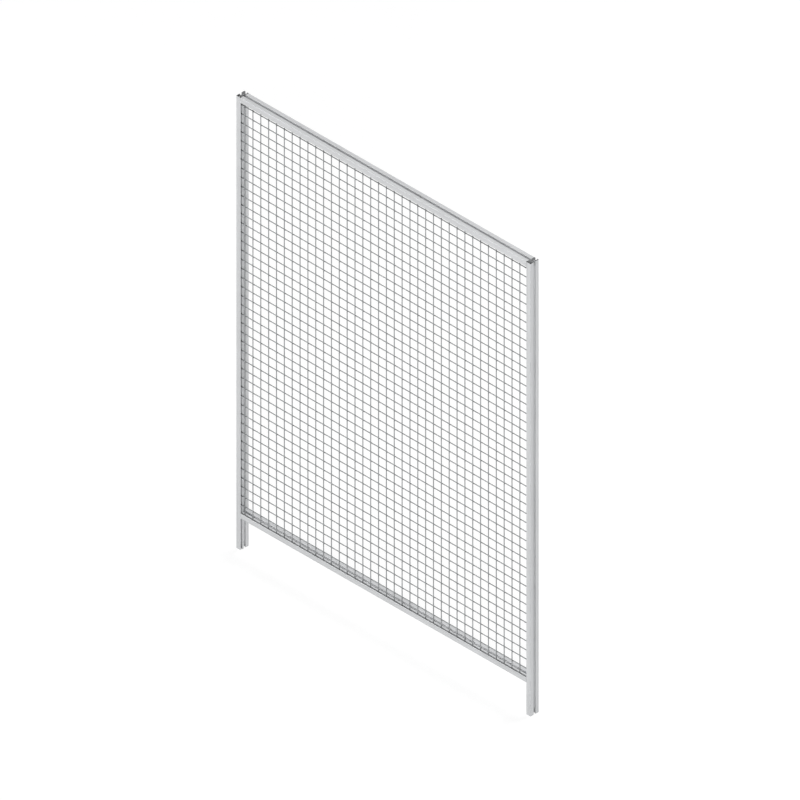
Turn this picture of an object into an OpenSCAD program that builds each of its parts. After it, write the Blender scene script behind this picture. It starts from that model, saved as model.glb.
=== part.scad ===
// Machine guard fence panel: two slotted aluminium posts that run on below the frame as legs, two rails of
// the same extrusion between them, and a welded wire mesh in the groove that all four carry behind their
// front flange. The corners are held by angle brackets inside the T-slots, each clamped by two set screws.
// Millimetres, +Z up. The origin is the middle of the left post's foot, X runs along the panel, and -Y is
// its front.

/* [Panel] */
// Width over both posts
panel_w = 1500; // [400:10:2400]
// Height from the floor to the top of the posts
panel_h = 1990; // [500:10:2600]
// Height of the legs, from the floor to the underside of the bottom rail
leg_h = 139; // [40:1:300]

/* [Extrusion section] */
// Width of the extrusion, in the plane of the panel
profile_w = 22.5; // [22:0.5:40]
// Depth of the extrusion, from its front face to its back face
profile_d = 42; // [40:0.5:60]
// Radius of the four outer corners
corner_r = 1.5; // [0.5:0.1:1.8]
// Thickness of the walls round the closed chamber
wall_t = 1.5; // [1.2:0.1:2.4]
// Thickness of the front face, which is also the flange in front of the mesh groove
flange_t = 1; // [0.8:0.1:2]

/* [T-slots] */
// Width of a T-slot's mouth
slot_w = 10; // [8:0.1:11]
// Thickness of the two lips at the mouth
slot_lip_t = 4.5; // [3:0.1:5]
// Width of the space behind the lips
slot_space_w = 16; // [13:0.1:17]
// Depth of the space behind the lips
slot_space_d = 5.5; // [4:0.1:5.8]
// Size of the chamfers at the bottom of that space
slot_space_chamfer = 2.5; // [0.5:0.1:3]
// Size of the chamfers at the mouth
slot_mouth_chamfer = 0.5; // [0.2:0.1:1]

/* [Wire mesh] */
// Distance from wire to wire, both ways
mesh_pitch = 40; // [20:1:80]
// Diameter of a wire
wire_d = 4; // [3:0.1:5]
// How far crossing wires are pressed into each other at the weld
weld_sink = 0.3; // [0.1:0.05:0.6]
// Play of the mesh in its groove, front to back
mesh_play = 0.6; // [0.2:0.1:1]
// Depth of the groove that holds the mesh
groove_d = 10; // [6:0.1:10]
// Gap between the ends of the wires and the bottom of the groove
wire_end_gap = 0.5; // [0.2:0.1:1]
// Length of the mesh's left edge outside its first upright wire
mesh_left_edge = 29.2; // [4:0.1:38]
// Length of the mesh's bottom edge outside its first level wire
mesh_bottom_edge = 3.9; // [3:0.1:38]

/* [Corner brackets] */
// Length of a bracket's leg beyond the inner corner of the frame
bracket_leg = 36; // [24:1:60]
// Clearance of a bracket's leg in the space behind the lips, on each side
bracket_play = 0.3; // [0.1:0.05:0.5]
// Gap between a bracket's leg and the bottom of its slot
bracket_gap = 1; // [0.5:0.1:1.5]
// Distance of a set screw from the inner corner of the frame
screw_at = 22; // [12:1:23]
// Diameter of a set screw
screw_d = 6; // [4:0.5:8]
// Clearance round a set screw
screw_play = 0.1; // [0.05:0.05:0.2]
// Size of a set screw's hexagon socket, across its flats
socket_w = 3; // [2:0.5:4]
// Depth of a set screw's socket
socket_d = 2.5; // [1.5:0.1:3]

/* [Hidden] */
$fn = 48;
CORNERS = ["bottom_left", "bottom_right", "top_left", "top_right"];

// Number of level bands that the mesh is made in, one for each mesh_band in NODES
mesh_bands = 5;
// How far a cutting shape reaches past the face it opens
cut = 1;
aluminium = [0.80, 0.81, 0.82];
wire_grey = [0.60, 0.62, 0.63];
zinc = [0.45, 0.46, 0.48];
black_steel = [0.15, 0.15, 0.16];

// Inner faces of the frame, which the rails' ends and the mesh meet
inner_left = profile_w / 2;
inner_right = panel_w - 3 * profile_w / 2;
inner_bottom = leg_h + profile_w;
inner_top = panel_h - profile_w;
rail_len = inner_right - inner_left;

// A wire is a bar of eight flat sides with the section area of the round wire
wire_sides = 8;
wire_r = wire_d / 2 * sqrt(PI / (wire_sides / 2 * sin(360 / wire_sides)));
wire_flat = 2 * wire_r * cos(180 / wire_sides);

// The extrusion's section is drawn from its outer front corner: x to its inner face, y to its back face
slot_d = slot_lip_t + slot_space_d;
slot_mid = profile_d / 2;
space_half = slot_space_w / 2;
groove_w = 2 * wire_flat - weld_sink + mesh_play;
groove_floor = profile_w - groove_d;
front_chamber_end = slot_mid - space_half - wall_t;

// The mesh: upright wires in front, level wires behind them
front_wires_y = flange_t + (mesh_play + wire_flat - profile_d) / 2;
back_wires_y = front_wires_y + wire_flat - weld_sink;
mesh_left = inner_left - groove_d + wire_end_gap;
mesh_right = inner_right + groove_d - wire_end_gap;
mesh_bottom = inner_bottom - groove_d + wire_end_gap;
mesh_top = inner_top + groove_d - wire_end_gap;
first_column = mesh_left + mesh_left_edge;
first_row = mesh_bottom + mesh_bottom_edge;
columns = floor((mesh_right - wire_d / 2 - first_column) / mesh_pitch) + 1;
rows = floor((mesh_top - wire_d / 2 - first_row) / mesh_pitch) + 1;
// A row past the last one would start the band above the last band
band_starts = [for (band = [0 : mesh_bands]) round(band * rows / mesh_bands)];

bracket_t = slot_space_d - bracket_gap;
straight_d = slot_space_d - slot_space_chamfer;

// ---- The extrusion's section: a T-slot in each side face and in the back face ----

module rounded_rectangle(size, r) {
    translate([r, 0]) square([size.x - 2 * r, size.y]);
    translate([0, r]) square([size.x, size.y - 2 * r]);
    for (x = [r, size.x - r], y = [r, size.y - r])
        translate([x, y]) circle(r);
}

// One half of the T-slot's outline, from its mouth at x = 0 to its bottom
function slot_side() = [
    [-cut, slot_w / 2 + slot_mouth_chamfer],
    [0, slot_w / 2 + slot_mouth_chamfer],
    [slot_mouth_chamfer, slot_w / 2],
    [slot_lip_t, slot_w / 2],
    [slot_lip_t, space_half],
    [slot_lip_t + straight_d, space_half],
    [slot_d, space_half - slot_space_chamfer]
];

// The outline on both sides of the slot's middle line
function both_sides(side) = concat(side, [for (i = [len(side) - 1 : -1 : 0]) [side[i].x, -side[i].y]]);

module slot_outline() {
    polygon(both_sides(slot_side()));
}

module mesh_groove_outline() {
    translate([groove_floor, flange_t]) square([groove_d + cut, groove_w]);
}

// The closed chamber in the outer front corner, between the front face, the mesh groove and the outer T-slot
module front_chamber_outline() {
    translate([wall_t, flange_t])
        rounded_rectangle([groove_floor - 2 * wall_t, front_chamber_end - flange_t], corner_r / 2);
}

module section() {
    difference() {
        rounded_rectangle([profile_w, profile_d], corner_r);
        translate([0, slot_mid]) slot_outline();
        translate([profile_w, slot_mid]) mirror([1, 0]) slot_outline();
        translate([profile_w / 2, profile_d]) rotate(-90) slot_outline();
        mesh_groove_outline();
        front_chamber_outline();
    }
}

// ---- The four extrusions ----

// Upright, with its outer face to -X and its middle on the Z axis
module post() {
    color(aluminium)
        linear_extrude(panel_h)
            translate([-profile_w / 2, -profile_d / 2]) section();
}

// Level, with its outer face down on z = 0
module rail() {
    color(aluminium)
        translate([inner_right, -profile_d / 2, 0])
            rotate([0, -90, 0])
                linear_extrude(rail_len) section();
}

module left_post() {
    post();
}

module right_post() {
    translate([panel_w - profile_w, 0, 0]) mirror([1, 0, 0]) post();
}

module bottom_rail() {
    translate([0, 0, leg_h]) rail();
}

module top_rail() {
    translate([0, 0, panel_h]) mirror([0, 0, 1]) rail();
}

// ---- The welded mesh ----

// A wire along +Z from the origin, with a flat side to the front and one to the back
module wire(length) {
    rotate(180 / wire_sides) cylinder(r = wire_r, h = length, $fn = wire_sides);
}

// Half way between two level wires, or the edge of the mesh
function band_edge(row) =
    row == 0 ? mesh_bottom : row >= rows ? mesh_top : first_row + (row - 0.5) * mesh_pitch;

module mesh_band(number) {
    first = band_starts[number - 1];
    past_last = band_starts[number];
    low = band_edge(first);
    high = band_edge(past_last);
    color(wire_grey) {
        for (column = [0 : columns - 1])
            translate([first_column + column * mesh_pitch, front_wires_y, low]) wire(high - low);
        for (row = [first : past_last - 1])
            translate([mesh_left, back_wires_y, first_row + row * mesh_pitch])
                rotate([0, 90, 0]) wire(mesh_right - mesh_left);
    }
}

// ---- The corner joints ----

// Carries what is drawn at a corner to its place. It is drawn with the inner corner of the frame at the
// origin, the rail along +X and the post along +Z.
module at_corner(name) {
    right = name == "bottom_right" || name == "top_right";
    top = name == "top_left" || name == "top_right";
    translate([right ? inner_right : inner_left, 0, top ? inner_top : inner_bottom])
        mirror([right ? 1 : 0, 0, 0])
            mirror([0, 0, top ? 1 : 0])
                children();
}

// Section of a bracket's leg in the space behind the lips: x is the depth below the extrusion's face
function leg_side() = [
    [slot_lip_t, space_half - bracket_play],
    [slot_lip_t + min(straight_d, bracket_t), space_half - bracket_play],
    [slot_lip_t + bracket_t, space_half - bracket_play - max(0, bracket_t - straight_d)]
];

// A leg that lies along +Z behind the lips of the post, from a height below the inner corner
module post_leg(below) {
    translate([0, 0, -below])
        linear_extrude(bracket_leg + below)
            mirror([1, 0]) polygon(both_sides(leg_side()));
}

// A leg that lies along +X behind the lips of the rail, from the post's face
module rail_leg() {
    rotate([0, 90, 0])
        linear_extrude(bracket_leg) polygon(both_sides(leg_side()));
}

// Where the leg passes between the post's lips
module neck() {
    neck_w = slot_w - 2 * bracket_play;
    translate([-slot_lip_t - bracket_t / 2, -neck_w / 2, -slot_lip_t - bracket_t])
        cube([slot_lip_t + bracket_t / 2 + cut, neck_w, bracket_t]);
}

// The bores run from the legs' faces at the lips through to the bottom of the slot
module at_post_screw() {
    translate([-slot_d, 0, screw_at]) rotate([0, 90, 0]) children();
}

module at_rail_screw() {
    translate([screw_at, 0, -slot_d]) children();
}

module screw_bore() {
    cylinder(d = screw_d + 2 * screw_play, h = slot_space_d + cut);
}

module bracket() {
    color(zinc)
        difference() {
            union() {
                post_leg(slot_lip_t + bracket_t);
                rail_leg();
                neck();
            }
            at_post_screw() screw_bore();
            at_rail_screw() screw_bore();
        }
}

// Stands on the bottom of the slot, with its socket towards the mouth
module set_screw() {
    color(black_steel)
        difference() {
            cylinder(d = screw_d, h = slot_space_d);
            translate([0, 0, slot_space_d - socket_d])
                cylinder(d = socket_w / cos(30), h = socket_d + cut, $fn = 6);
        }
}

left_post();
right_post();
top_rail();
bottom_rail();
for (band = [1 : mesh_bands])
    mesh_band(band);
for (corner = CORNERS) {
    at_corner(corner) bracket();
    at_corner(corner) at_rail_screw() set_screw();
    at_corner(corner) at_post_screw() set_screw();
}
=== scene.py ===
"""Machine guard fence panel: its slotted aluminium frame, its welded wire mesh and a white studio.

The extrusions, the corner brackets and their screws are the frame's own solids with better materials.
The five bands of the mesh, which the frame holds as eight-sided bars, are made again of round wire.
"""
import math

import bmesh
import bpy
import numpy as np
from mathutils import Matrix, Vector


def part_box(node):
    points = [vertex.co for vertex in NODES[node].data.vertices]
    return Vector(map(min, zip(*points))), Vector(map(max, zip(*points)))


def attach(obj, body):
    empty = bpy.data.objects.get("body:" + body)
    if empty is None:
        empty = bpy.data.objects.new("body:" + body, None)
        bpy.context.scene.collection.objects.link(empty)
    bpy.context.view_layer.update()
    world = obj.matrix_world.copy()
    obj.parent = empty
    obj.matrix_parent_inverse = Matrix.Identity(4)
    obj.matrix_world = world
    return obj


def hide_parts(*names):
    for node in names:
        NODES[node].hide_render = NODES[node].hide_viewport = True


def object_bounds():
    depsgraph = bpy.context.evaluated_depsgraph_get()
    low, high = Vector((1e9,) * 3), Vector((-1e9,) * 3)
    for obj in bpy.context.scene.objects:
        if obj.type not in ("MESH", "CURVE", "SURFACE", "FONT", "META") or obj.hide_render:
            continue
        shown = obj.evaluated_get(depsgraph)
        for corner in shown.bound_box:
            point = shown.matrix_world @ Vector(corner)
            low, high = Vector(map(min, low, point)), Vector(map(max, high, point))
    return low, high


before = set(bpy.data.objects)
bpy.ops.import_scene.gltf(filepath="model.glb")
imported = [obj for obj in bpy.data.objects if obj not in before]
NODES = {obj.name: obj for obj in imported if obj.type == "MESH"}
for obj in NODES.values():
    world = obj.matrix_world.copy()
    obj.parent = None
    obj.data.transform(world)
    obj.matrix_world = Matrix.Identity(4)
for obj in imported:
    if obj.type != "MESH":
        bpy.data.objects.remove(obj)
cad_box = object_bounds()

X, Y, Z = 0, 1, 2
POSTS = ["left_post", "right_post"]
RAILS = ["top_rail", "bottom_rail"]
BANDS = sorted(name for name in NODES if name.startswith("mesh_band_"))
BRACKETS = [name for name in NODES if name.startswith("bracket_")]
SCREWS = [name for name in NODES if "_screw_" in name]

# Colours, linear
ANODISED = (0.602, 0.610, 0.620, 1)
# The dark of dust and painted shade, in the extrusions' grooves and on the wire near the frame
DUST_AND_SHADE = (0.05, 0.052, 0.055, 1)
WORN_EDGE = (0.78, 0.79, 0.80, 1)
SAWN = (0.10, 0.101, 0.104, 1)
GALVANISED = (0.300, 0.309, 0.315, 1)
WELD_TINT = (0.16, 0.155, 0.15, 1)
BRACKET_ZINC = (0.25, 0.26, 0.27, 1)
BLACK_OXIDE = (0.05, 0.05, 0.053, 1)
WHITE = (1, 1, 1, 1)

# Texture scales are in features to the metre, and lengths in metres. A pair of numbers is the range of tone,
# roughness or cover that a texture spreads over, unless a comment says otherwise.

# Where most values of a noise texture lie
NOISE_SPREAD = (0.3, 0.7)

# How strong the bump of the extrusions and the wire is
BUMP_STRENGTH = 0.5

# The extrusions
ALLOY_CLOUD = 7.0
ALLOY_GRAIN = 3200.0
DIE_BANDS = 210.0
DIE_LINES = 2600.0
CLOUD_TONE = (-0.035, 0.035)
BAND_TONE = (0.93, 1.05)
DIE_LINE_TONE = (-0.02, 0.02)
ALLOY_ROUGH = (0.42, 0.5)
GRAIN_ROUGH = (-0.03, 0.03)
ALLOY_METALLIC = 0.4
ALLOY_BUMP = 0.00002
GRAIN_HEIGHT = 0.4

# Along the lines that a die leaves, textures have this share of their scale
DIE_STRETCH = 0.004
DRAWING_STRETCH = 0.02

# An edge begins where the rounded normal and the true one agree by less than the first of these, and is full
# at the second
EDGE_AGREEMENT = (0.99, 0.85)

# Rubbed edges: their radius, and patches that grow over the noise values of RUB_SPREAD
ALLOY_EDGE = 0.0005
RUB_PATCHES = 90.0
RUB_SPREAD = (0.45, 0.65)
RUB_COVER = (0.05, 0.45)

# Dust and painted shade in the extrusions' grooves and hollows. The reach is how far off a wall still
# shelters them, and the limit is the openness at which they end, each of them as (inside, at the open ends)
OPEN_END = 0.03
DUST_AND_SHADE_REACH = (0.012, 0.030)
DUST_AND_SHADE_LIMIT = (0.28, 0.80)
DUST_AND_SHADE_PATCHES = 45.0
DUST_AND_SHADE_COVER = (0.70, 0.90)
DUST_ROUGH = 0.35

# The arcs that the saw left: rings round a point this far from the origin, the wave texture's own scale, and
# how bright they get. A surface is a sawn end where its normal lies this much along the extrusion
SAW_OFFSET = (0.11, 0.07, 0.0)
SAW_SCALE = 420.0
SAW_GLINT = 0.2
SAWN_FACING = 0.9

# The wire's zinc
ZINC_CLOUD = 26.0
SPANGLE = 260.0
DRAWING_LINES = 1500.0
ZINC_CLOUD_TONE = (-0.09, 0.09)
SPANGLE_TONE = (0.87, 1.13)
SPANGLE_ROUGH = (0.30, 0.46)
ZINC_METALLIC = 0.6
ZINC_BUMP = 0.00003

# Heat tint at the welds: it ends at HEAT_REACH weld radii
HEAT_REACH = 3.2
HEAT_TINT = 0.3
HEAT_PATCHY = (0.5, 1.0)

# Dirt on the wire. Dirt and painted shade near the frame fade out between the two distances of their reach
# from the sheet's rim. What settles on top is thickest where the normal points up by FACING_UP or more
FRAME_DIRT_AND_SHADE_REACH = (0.018, 0.025)
FRAME_DIRT_AND_SHADE_COVER = (0.45, 0.7)
SETTLED_COVER = (0.3, 0.5)
FACING_UP = 0.9
SOILED_ROUGH = 0.25

# Brackets and screws
PLATE_CLOUD = 160.0
PLATE_GRAIN = 2200.0
PLATE_TONE = (0.85, 1.15)
PLATE_ROUGH = (0.36, 0.50)
PLATE_EDGE = 0.0003
PLATE_RUBBED = 0.35
PLATE_BUMP = 0.00002
PLATE_BUMP_STRENGTH = 0.4

# The shape of the wire and its welds. Edges that turn less than SHARP_ANGLE are shaded smooth
WIRE_R = 0.002
WIRE_SIDES = 16
WIRE_END_CHAMFER = 0.0003
WELD_SPOT = Vector((0.0017, 0.0009, 0.0017))
WELD_ZONE = 0.0034
SHARP_ANGLE = math.radians(38)

# The lamps: directions from the panel, and powers in watts
LAMPS = {
    "key": ((0.7, -0.7, 0.4), 1860.0),
    "top": ((0.0, 0.5, 1.0), 1080.0),
    "fill": ((-0.7, -0.7, 0.3), 1020.0),
    "back": ((0.3, 1.0, 0.1), 1000.0),
}
LAMP_DISTANCE = 16.0
LAMP_SIZE = 7.0

# The camera: angles in degrees
CAMERA_AZIMUTH = 45.0
CAMERA_ELEVATION = 35.0
CAMERA_DISTANCE = 12.0
CAMERA_CLIP = 60.0
VIEW_WIDTH = 2.8823
AIM_FROM_CENTRE = Vector((0.0637, 0.0, 0.0476))

# The floor: FLOOR_HALF is half its side. The camera sees FLOOR_SEEN of its tone, and FLOOR_GLOW on top
FLOOR_HALF = 25.0
FLOOR_CLOUD = 2.0
FLOOR_TONE = (0.64, 0.66)
FLOOR_ROUGH = 0.9
FLOOR_SEEN = 0.45
FLOOR_GLOW = 0.805


# ---- Shader helpers ----

def put(tree, value, socket):
    """Gives a socket a value, or links another socket to it."""
    if isinstance(value, bpy.types.NodeSocket):
        tree.links.new(value, socket)
    else:
        socket.default_value = value


def add(tree, kind, settings=None, **inputs):
    """A new shader node. An input is given by its name, or as i0, i1... by its number."""
    node = tree.nodes.new("ShaderNode" + kind)
    for name, value in (settings or {}).items():
        setattr(node, name, value)
    for name, value in inputs.items():
        numbered = name[0] == "i" and name[1:].isdigit()
        put(tree, value, node.inputs[int(name[1:]) if numbered else name.replace("_", " ")])
    return node


def math_of(tree, operation, a, b=0.0, clamp=False):
    return add(tree, "Math", {"operation": operation, "use_clamp": clamp}, i0=a, i1=b).outputs[0]


def times(tree, a, b):
    return math_of(tree, "MULTIPLY", a, b)


def total(tree, first, *others, clamp=False):
    """The sum of two or more numbers, held in 0..1 if clamped."""
    for number in others:
        first = math_of(tree, "ADD", first, number, clamp)
    return first


def least(tree, first, *others):
    """The smallest of two or more numbers."""
    for number in others:
        first = math_of(tree, "MINIMUM", first, number)
    return first


def remap(tree, value, low, high, to_low, to_high):
    """value from low..high to to_low..to_high, held at both ends."""
    return add(tree, "MapRange", i0=value, i1=low, i2=high, i3=to_low, i4=to_high).outputs["Result"]


def between(tree, share, low, high):
    """low where share is 0, high where it is 1."""
    return remap(tree, share, 0.0, 1.0, low, high)


def around(tree, value, low, high):
    """A noise value spread over low..high."""
    return remap(tree, value, *NOISE_SPREAD, low, high)


def mix(tree, factor, a, b, blend="MIX"):
    """Colour a turning to b with factor."""
    node = tree.nodes.new("ShaderNodeMix")
    node.data_type = "RGBA"
    node.blend_type = blend
    put(tree, factor, node.inputs[0])
    put(tree, a, node.inputs[6])
    put(tree, b, node.inputs[7])
    return node.outputs[2]


def grey(tree, tone):
    return add(tree, "CombineColor", i0=tone, i1=tone, i2=tone).outputs[0]


def tinted(tree, colour, shade):
    """colour made lighter or darker by a number."""
    return mix(tree, 1.0, colour, grey(tree, shade), "MULTIPLY")


def noise(tree, place, scale, detail=3.0, roughness=0.5):
    node = add(tree, "TexNoise", Vector=place, Scale=scale, Detail=detail, Roughness=roughness)
    return node.outputs[0]


def along(tree, vector, axis):
    """One coordinate of a vector."""
    return add(tree, "SeparateXYZ", i0=vector).outputs[axis]


def vector_of(tree, operation, vector, by):
    return add(tree, "VectorMath", {"operation": operation}, i0=vector, i1=by).outputs[0]


def stretched(tree, place, axis, amount):
    """place with one axis shortened, so that a texture on it runs in lines along that axis."""
    by = [1.0, 1.0, 1.0]
    by[axis] = amount
    return vector_of(tree, "MULTIPLY", place, by)


def new_material(name):
    """A material, its node tree and its shader, and the sockets of a point's place and normal."""
    material = bpy.data.materials.new(name)
    material.use_nodes = True
    tree = material.node_tree
    coordinates = tree.nodes.new("ShaderNodeTexCoord").outputs
    return material, tree, tree.nodes["Principled BSDF"], coordinates["Object"], coordinates["Normal"]


def coat(tree, shader, colour, rough, metallic):
    """Sets how the surface reflects."""
    tree.links.new(colour, shader.inputs["Base Color"])
    tree.links.new(rough, shader.inputs["Roughness"])
    shader.inputs["Metallic"].default_value = metallic


def emboss(tree, shader, height, depth, strength, normal=None):
    """Raises the surface by a height texture, about another normal if one is given."""
    bump = add(tree, "Bump", Strength=strength, Distance=depth, Height=height)
    if normal:
        tree.links.new(normal, bump.inputs["Normal"])
    tree.links.new(bump.outputs[0], shader.inputs["Normal"])


def edge_mask(tree, radius):
    """1 on edges and inner corners, 0 on flat faces, with the rounded normal that it is found from."""
    rounded = add(tree, "Bevel", {"samples": 6}, Radius=radius).outputs[0]
    true = tree.nodes.new("ShaderNodeNewGeometry").outputs["Normal"]
    agreed = add(tree, "VectorMath", {"operation": "DOT_PRODUCT"}, i0=rounded, i1=true).outputs["Value"]
    return remap(tree, agreed, *EDGE_AGREEMENT, 0.0, 1.0), rounded


# ---- Anodised aluminium ----

def end_mask(tree, place, axis, low_end, high_end):
    """1 at an extrusion's two open ends, 0 further in than OPEN_END."""
    coordinate = along(tree, place, axis)
    above_low = math_of(tree, "SUBTRACT", coordinate, low_end)
    below_high = math_of(tree, "SUBTRACT", high_end, coordinate)
    return remap(tree, least(tree, above_low, below_high), 0.0, OPEN_END, 1.0, 0.0)


def groove_dust_and_shade(tree, place, near_end):
    """How thick the dust and painted shade lie: uneven deep in the grooves, full and further out of them at
    the open ends.
    """
    reach = between(tree, near_end, *DUST_AND_SHADE_REACH)
    openness = add(tree, "AmbientOcclusion", {"samples": 8, "only_local": True}, Distance=reach)
    limit = between(tree, near_end, *DUST_AND_SHADE_LIMIT)
    crevice = remap(tree, openness.outputs["AO"], 0.0, limit, 1.0, 0.0)
    uneven = around(tree, noise(tree, place, DUST_AND_SHADE_PATCHES), *DUST_AND_SHADE_COVER)
    return times(tree, crevice, math_of(tree, "MAXIMUM", near_end, uneven))


def saw_cut(tree, place, normal, axis):
    """1 on the sawn ends and 0 elsewhere, and the arcs that the blade left."""
    facing = math_of(tree, "ABSOLUTE", along(tree, normal, axis))
    arcs = add(
        tree, "TexWave", {"wave_type": "RINGS", "rings_direction": "Z"},
        Vector=vector_of(tree, "ADD", place, SAW_OFFSET), Scale=SAW_SCALE,
        Distortion=1.5, Detail=2.0, Detail_Scale=2.0,
    )
    return math_of(tree, "GREATER_THAN", facing, SAWN_FACING), arcs.outputs[1]


def anodised_aluminium(axis, low_end, high_end):
    """Clear-anodised extrusion: die lines along the axis, grooves darkened by dust and painted shade, worn
    edges and sawn ends.
    """
    material, tree, shader, place, normal = new_material("anodised_along_" + "xyz"[axis])
    lines = stretched(tree, place, axis, DIE_STRETCH)
    cloud = noise(tree, place, ALLOY_CLOUD, detail=4.0)
    grain = noise(tree, place, ALLOY_GRAIN, detail=2.0)
    bands = noise(tree, lines, DIE_BANDS, detail=2.0)
    die_lines = noise(tree, lines, DIE_LINES, roughness=0.6)
    edge, rounded = edge_mask(tree, ALLOY_EDGE)
    dust_and_shade = groove_dust_and_shade(tree, place, end_mask(tree, place, axis, low_end, high_end))
    sawn, saw_arcs = saw_cut(tree, place, normal, axis)

    shade = total(tree, around(tree, cloud, *CLOUD_TONE), around(tree, bands, *BAND_TONE))
    shade = total(tree, shade, around(tree, die_lines, *DIE_LINE_TONE))
    patches = remap(tree, noise(tree, place, RUB_PATCHES), *RUB_SPREAD, *RUB_COVER)
    colour = mix(tree, times(tree, edge, patches), tinted(tree, ANODISED, shade), WORN_EDGE)
    # Grooves and hollows darkened by dust and painted shade
    colour = mix(tree, dust_and_shade, colour, DUST_AND_SHADE)
    sawn_colour = mix(tree, between(tree, saw_arcs, 0.0, SAW_GLINT), SAWN, WORN_EDGE)
    colour = mix(tree, sawn, colour, sawn_colour)

    rough = total(tree, around(tree, cloud, *ALLOY_ROUGH), around(tree, grain, *GRAIN_ROUGH))
    rough = total(tree, rough, times(tree, dust_and_shade, DUST_ROUGH), clamp=True)
    coat(tree, shader, colour, rough, ALLOY_METALLIC)
    height = total(tree, mix(tree, sawn, die_lines, saw_arcs), times(tree, grain, GRAIN_HEIGHT))
    emboss(tree, shader, height, ALLOY_BUMP, BUMP_STRENGTH, rounded)
    return material


# ---- Galvanised wire ----

def to_nearest(tree, coordinate, first, pitch):
    """Distance along one axis to the nearest of a row of wires."""
    steps = math_of(tree, "DIVIDE", math_of(tree, "SUBTRACT", coordinate, first), pitch)
    return times(tree, math_of(tree, "SUBTRACT", steps, math_of(tree, "ROUND", steps)), pitch)


def heat_tint(tree, place, cloud, first_column, first_row, pitch):
    """How much the welds have darkened the zinc round them."""
    aside = to_nearest(tree, along(tree, place, X), first_column, pitch)
    above = to_nearest(tree, along(tree, place, Z), first_row, pitch)
    from_weld = add(tree, "CombineXYZ", i0=aside, i2=above).outputs[0]
    distance = add(tree, "VectorMath", {"operation": "LENGTH"}, i0=from_weld).outputs["Value"]
    heat = remap(tree, distance, WELD_SPOT.x, HEAT_REACH * WELD_SPOT.x, HEAT_TINT, 0.0)
    return times(tree, heat, around(tree, cloud, *HEAT_PATCHY))


def wire_dirt_and_shade(tree, place, normal, cloud, sheet_low, sheet_high):
    """The thicker of two layers: dirt with painted shade near the frame, and dust that settles on what faces
    up.
    """
    inwards = [math_of(tree, "SUBTRACT", along(tree, place, axis), sheet_low[axis]) for axis in (X, Z)]
    inwards += [math_of(tree, "SUBTRACT", sheet_high[axis], along(tree, place, axis)) for axis in (X, Z)]
    # Dirt and painted shade where the wire nears the frame
    dirt_and_shade_at_frame = remap(tree, least(tree, *inwards), *FRAME_DIRT_AND_SHADE_REACH, 1.0, 0.0)
    dirt_and_shade_at_frame = times(tree, dirt_and_shade_at_frame, around(tree, cloud, *FRAME_DIRT_AND_SHADE_COVER))
    facing_up = remap(tree, along(tree, normal, Z), 0.0, FACING_UP, 0.0, 1.0)
    settled = times(tree, facing_up, around(tree, cloud, *SETTLED_COVER))
    return math_of(tree, "MAXIMUM", dirt_and_shade_at_frame, settled)


def drawing_lines(tree, place, axis):
    """Fine lines along a wire, left by the die that it was drawn through."""
    return noise(tree, stretched(tree, place, axis, DRAWING_STRETCH), DRAWING_LINES)


def galvanised_wire(first_column, first_row, pitch, contact_y, sheet_low, sheet_high):
    """Zinc-coated wire: drawing lines, spangle, heat tint at the welds, dust on top, and dirt with painted
    shade near the frame.
    """
    material, tree, shader, place, normal = new_material("galvanised_wire")
    cloud = noise(tree, place, ZINC_CLOUD)
    cells = add(tree, "TexVoronoi", Vector=place, Scale=SPANGLE).outputs["Color"]
    spangle = add(tree, "SeparateColor", i0=cells).outputs[0]
    heat = heat_tint(tree, place, cloud, first_column, first_row, pitch)
    dirt_and_shade = wire_dirt_and_shade(tree, place, normal, cloud, sheet_low, sheet_high)

    shade = total(tree, around(tree, cloud, *ZINC_CLOUD_TONE), between(tree, spangle, *SPANGLE_TONE))
    colour = mix(tree, heat, tinted(tree, GALVANISED, shade), WELD_TINT)
    # Dust on top, and dirt with painted shade near the frame
    colour = mix(tree, dirt_and_shade, colour, DUST_AND_SHADE)
    duller = times(tree, total(tree, heat, dirt_and_shade), SOILED_ROUGH)
    rough = total(tree, between(tree, spangle, *SPANGLE_ROUGH), duller)
    coat(tree, shader, colour, rough, ZINC_METALLIC)

    is_level = math_of(tree, "GREATER_THAN", along(tree, place, Y), contact_y)
    drawn = mix(tree, is_level, drawing_lines(tree, place, Z), drawing_lines(tree, place, X))
    emboss(tree, shader, drawn, ZINC_BUMP, BUMP_STRENGTH)
    return material


# ---- Brackets and screws ----

def plated_steel(name, tone, metallic):
    """Small steel parts, zinc-plated or black, with a fine grain and rubbed edges."""
    material, tree, shader, place, _ = new_material(name)
    cloud = noise(tree, place, PLATE_CLOUD, detail=4.0)
    grain = noise(tree, place, PLATE_GRAIN, detail=2.0)
    edge, rounded = edge_mask(tree, PLATE_EDGE)
    colour = tinted(tree, tone, around(tree, cloud, *PLATE_TONE))
    colour = mix(tree, times(tree, edge, PLATE_RUBBED), colour, WORN_EDGE)
    coat(tree, shader, colour, around(tree, cloud, *PLATE_ROUGH), metallic)
    emboss(tree, shader, grain, PLATE_BUMP, PLATE_BUMP_STRENGTH, rounded)
    return material


def dress(names, material):
    """Gives CAD nodes a material."""
    for name in names:
        for slot in NODES[name].material_slots:
            slot.material = material


# ---- The welded mesh ----

def end_points(band, end_axis):
    """The points of the wire ends that make the band's lowest side on end_axis."""
    points = np.array([vertex.co for vertex in NODES[band].data.vertices])
    low = points[:, end_axis].min()
    return points[np.abs(points[:, end_axis] - low) < WIRE_R / 10]


def middle_of(values):
    return float(values.min() + values.max()) / 2


def wire_places(band, end_axis, spread_axis):
    """Middles along spread_axis of the wires that run along end_axis."""
    ends = np.sort(end_points(band, end_axis)[:, spread_axis])
    groups = np.split(ends, np.nonzero(np.diff(ends) > WIRE_R * 2)[0] + 1)
    return [middle_of(group) for group in groups]


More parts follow.
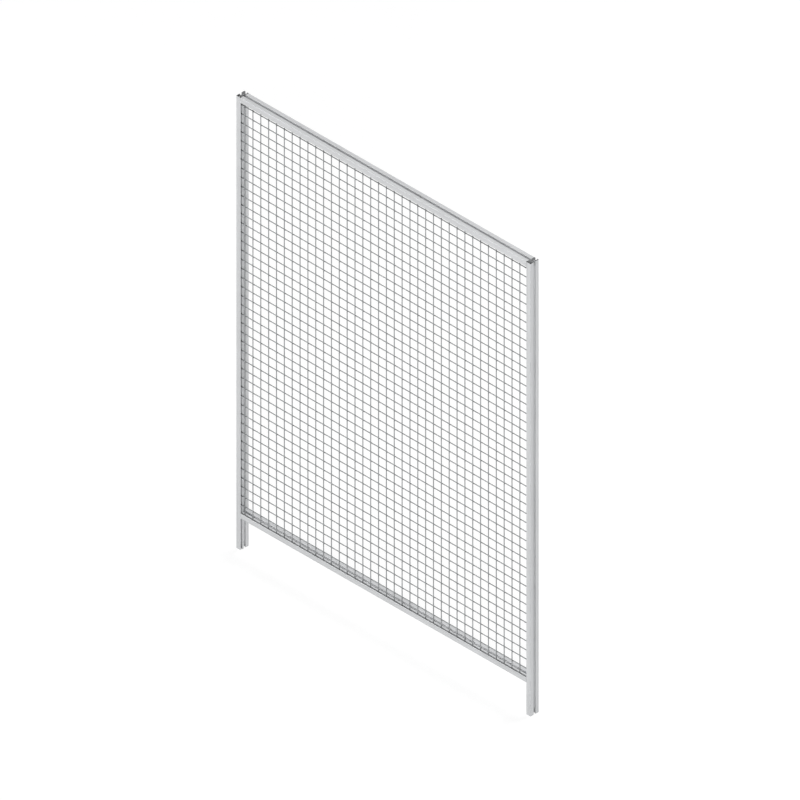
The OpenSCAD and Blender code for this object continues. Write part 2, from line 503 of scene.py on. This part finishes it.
def wire_depth(band, end_axis):
    """Middle in depth of the wires that run along end_axis."""
    return middle_of(end_points(band, end_axis)[:, Y])


def ring(bm, centre, axis, radius):
    """A ring of vertices round the axis."""
    across = [i for i in (X, Y, Z) if i != axis]
    made = []
    for step in range(WIRE_SIDES):
        turn = 2 * math.pi * (step + 0.5) / WIRE_SIDES
        point = Vector(centre)
        point[across[0]] += radius * math.cos(turn)
        point[across[1]] += radius * math.sin(turn)
        made.append(bm.verts.new(point))
    return made


def stations(low, high, crossings, chamfers):
    """Where a wire has a ring, with its radius there: at its ends and on both sides of each crossing."""
    inset = WIRE_END_CHAMFER
    made = []
    for end, inwards, chamfered in ((low, inset, chamfers[0]), (high, -inset, chamfers[1])):
        made.append((end, WIRE_R - inset if chamfered else WIRE_R))
        if chamfered:
            made.append((end + inwards, WIRE_R))
    sides = [crossing + side for crossing in crossings for side in (-WELD_ZONE, WELD_ZONE)]
    made += [(place, WIRE_R) for place in sides if low + 2 * inset < place < high - 2 * inset]
    return sorted(made)


def add_wire(bm, start, axis, end, crossings, chamfers):
    """A closed round wire from start to end along the axis."""
    rings = []
    for place, radius in stations(start[axis], end, crossings, chamfers):
        centre = Vector(start)
        centre[axis] = place
        rings.append(ring(bm, centre, axis, radius))
    for below, above in zip(rings, rings[1:]):
        for i in range(WIRE_SIDES):
            j = (i + 1) % WIRE_SIDES
            bm.faces.new((below[i], below[j], above[j], above[i]))
    bm.faces.new(rings[0][::-1])
    bm.faces.new(rings[-1])


def finished(bm, name):
    """An object of a bmesh, with its faces turned outwards."""
    bmesh.ops.recalc_face_normals(bm, faces=bm.faces)
    mesh = bpy.data.meshes.new(name)
    bm.to_mesh(mesh)
    bm.free()
    made = bpy.data.objects.new(name, mesh)
    bpy.context.scene.collection.objects.link(made)
    return made


def upright_wires(columns, rows, depth, low, high, chamfers):
    bm = bmesh.new()
    for column in columns:
        add_wire(bm, Vector((column, depth, low)), Z, high, rows, chamfers)
    return finished(bm, "uprights")


def level_wires(columns, rows, depth, left, right):
    bm = bmesh.new()
    for row in rows:
        add_wire(bm, Vector((left, depth, row)), X, right, columns, (True, True))
    return finished(bm, "levels")


def weld_spots(columns, rows, depth):
    """The metal pressed out between two crossing wires, as a flat lens at each crossing."""
    bm = bmesh.new()
    for column in columns:
        for row in rows:
            place = Matrix.Translation((column, depth, row)) @ Matrix.Diagonal((*WELD_SPOT, 1))
            bmesh.ops.create_icosphere(bm, subdivisions=2, radius=1.0, matrix=place)
    return finished(bm, "welds")


def fuse(whole, *others):
    """Joins closed shapes into one closed surface, and deletes the originals."""
    for other in others:
        modifier = whole.modifiers.new("fuse", "BOOLEAN")
        modifier.operation = "UNION"
        modifier.solver = "MANIFOLD"
        modifier.object = other
    bpy.context.view_layer.update()
    seen = whole.evaluated_get(bpy.context.evaluated_depsgraph_get())
    mesh = bpy.data.meshes.new_from_object(seen)
    whole.modifiers.clear()
    whole.data = mesh
    for other in others:
        bpy.data.objects.remove(other)


def make_band(number, name, columns, material):
    """One band of the mesh in round wire, in the place of the frame's band."""
    low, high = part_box(name)
    rows = wire_places(name, X, Z)
    front, back = wire_depth(name, Z), wire_depth(name, X)
    chamfers = (number == 0, number == len(BANDS) - 1)
    band = upright_wires(columns, rows, front, low.z, high.z, chamfers)
    levels = level_wires(columns, rows, back, low.x, high.x)
    welds = weld_spots(columns, rows, (front + back) / 2)
    fuse(band, levels, welds)
    band.name = f"wire_band_{number + 1}"
    band.data.name = band.name
    band.data.materials.clear()
    band.data.materials.append(material)
    band.data.shade_smooth()
    band.data.set_sharp_from_angle(angle=SHARP_ANGLE)
    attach(band, "root")
    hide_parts(name)


# ---- Studio ----

def seen_directly(tree):
    """1 for rays from the camera and from glossy or clear surfaces, 0 for the rays that light things."""
    path = tree.nodes.new("ShaderNodeLightPath").outputs
    direct = math_of(tree, "MAXIMUM", path["Is Camera Ray"], path["Is Glossy Ray"])
    return math_of(tree, "MAXIMUM", direct, path["Is Transmission Ray"])


def white_world():
    """A world that is seen as white and lights nothing else."""
    world = bpy.data.worlds.new("studio")
    bpy.context.scene.world = world
    world.use_nodes = True
    tree = world.node_tree
    background = tree.nodes["Background"]
    background.inputs["Color"].default_value = WHITE
    tree.links.new(seen_directly(tree), background.inputs["Strength"])


def floor_white():
    """Matt and pale, and seen as white wherever no shadow falls."""
    material, tree, shader, place, _ = new_material("floor_white")
    direct = seen_directly(tree)
    tone = around(tree, noise(tree, place, FLOOR_CLOUD), *FLOOR_TONE)
    tone = times(tree, tone, between(tree, direct, 1.0, FLOOR_SEEN))
    tree.links.new(grey(tree, tone), shader.inputs["Base Color"])
    shader.inputs["Roughness"].default_value = FLOOR_ROUGH
    shader.inputs["Specular IOR Level"].default_value = 0.0
    glow = add(tree, "Emission", Color=WHITE, Strength=times(tree, direct, FLOOR_GLOW))
    both = add(tree, "AddShader", i0=shader.outputs[0], i1=glow.outputs[0])
    tree.links.new(both.outputs[0], tree.nodes["Material Output"].inputs["Surface"])
    return material


def pale_floor(centre, height):
    """A plain floor that keeps the panel's shadow and is otherwise as white as the background."""
    bm = bmesh.new()
    sides = ((-1, -1), (1, -1), (1, 1), (-1, 1))
    corners = [(centre.x + x * FLOOR_HALF, centre.y + y * FLOOR_HALF, height) for x, y in sides]
    bm.faces.new([bm.verts.new(corner) for corner in corners])
    floor = finished(bm, "floor")
    floor.data.materials.append(floor_white())


def soft_lamp(name, direction, power, centre):
    """A large square lamp that looks at the panel from a direction."""
    lamp = bpy.data.lights.new(name, "AREA")
    lamp.shape = "SQUARE"
    lamp.size = LAMP_SIZE
    lamp.energy = power
    holder = bpy.data.objects.new(name, lamp)
    towards = Vector(direction).normalized()
    holder.location = centre + towards * LAMP_DISTANCE
    holder.rotation_euler = towards.to_track_quat("Z", "Y").to_euler()
    bpy.context.scene.collection.objects.link(holder)


def isometric_camera(aim):
    """A camera with parallel rays, which looks at aim from the front right and above."""
    data = bpy.data.cameras.new("camera")
    data.type = "ORTHO"
    data.ortho_scale = VIEW_WIDTH
    data.clip_end = CAMERA_CLIP
    camera = bpy.data.objects.new("camera", data)
    turn, rise = math.radians(CAMERA_AZIMUTH), math.radians(CAMERA_ELEVATION)
    towards = Vector((math.sin(turn) * math.cos(rise), -math.cos(turn) * math.cos(rise), math.sin(rise)))
    camera.location = aim + towards * CAMERA_DISTANCE
    camera.rotation_euler = towards.to_track_quat("Z", "Y").to_euler()
    bpy.context.scene.collection.objects.link(camera)
    bpy.context.scene.camera = camera


def studio():
    """Camera, white background, floor and lamps round the panel."""
    low, high = (Vector(corner) for corner in cad_box)
    centre = (low + high) / 2
    isometric_camera(centre + AIM_FROM_CENTRE)
    white_world()
    pale_floor(centre, low.z)
    for name, (direction, power) in LAMPS.items():
        soft_lamp(name, direction, power, centre)
    bpy.context.scene.view_settings.view_transform = "Standard"


# ---- The panel ----

dress(POSTS, anodised_aluminium(Z, cad_box[0][Z], cad_box[1][Z]))
dress(RAILS, anodised_aluminium(X, cad_box[0][X], cad_box[1][X]))
dress(BRACKETS, plated_steel("bracket_zinc", BRACKET_ZINC, metallic=0.6))
dress(SCREWS, plated_steel("black_oxide", BLACK_OXIDE, metallic=0.5))

columns = wire_places(BANDS[0], Z, X)
first_row = wire_places(BANDS[0], X, Z)[0]
pitch = columns[1] - columns[0]
contact_y = (wire_depth(BANDS[0], X) + wire_depth(BANDS[0], Z)) / 2
sheet_low, sheet_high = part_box(BANDS[0])[0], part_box(BANDS[-1])[1]
wire = galvanised_wire(columns[0], first_row, pitch, contact_y, sheet_low, sheet_high)
for number, name in enumerate(BANDS):
    make_band(number, name, columns, wire)

studio()
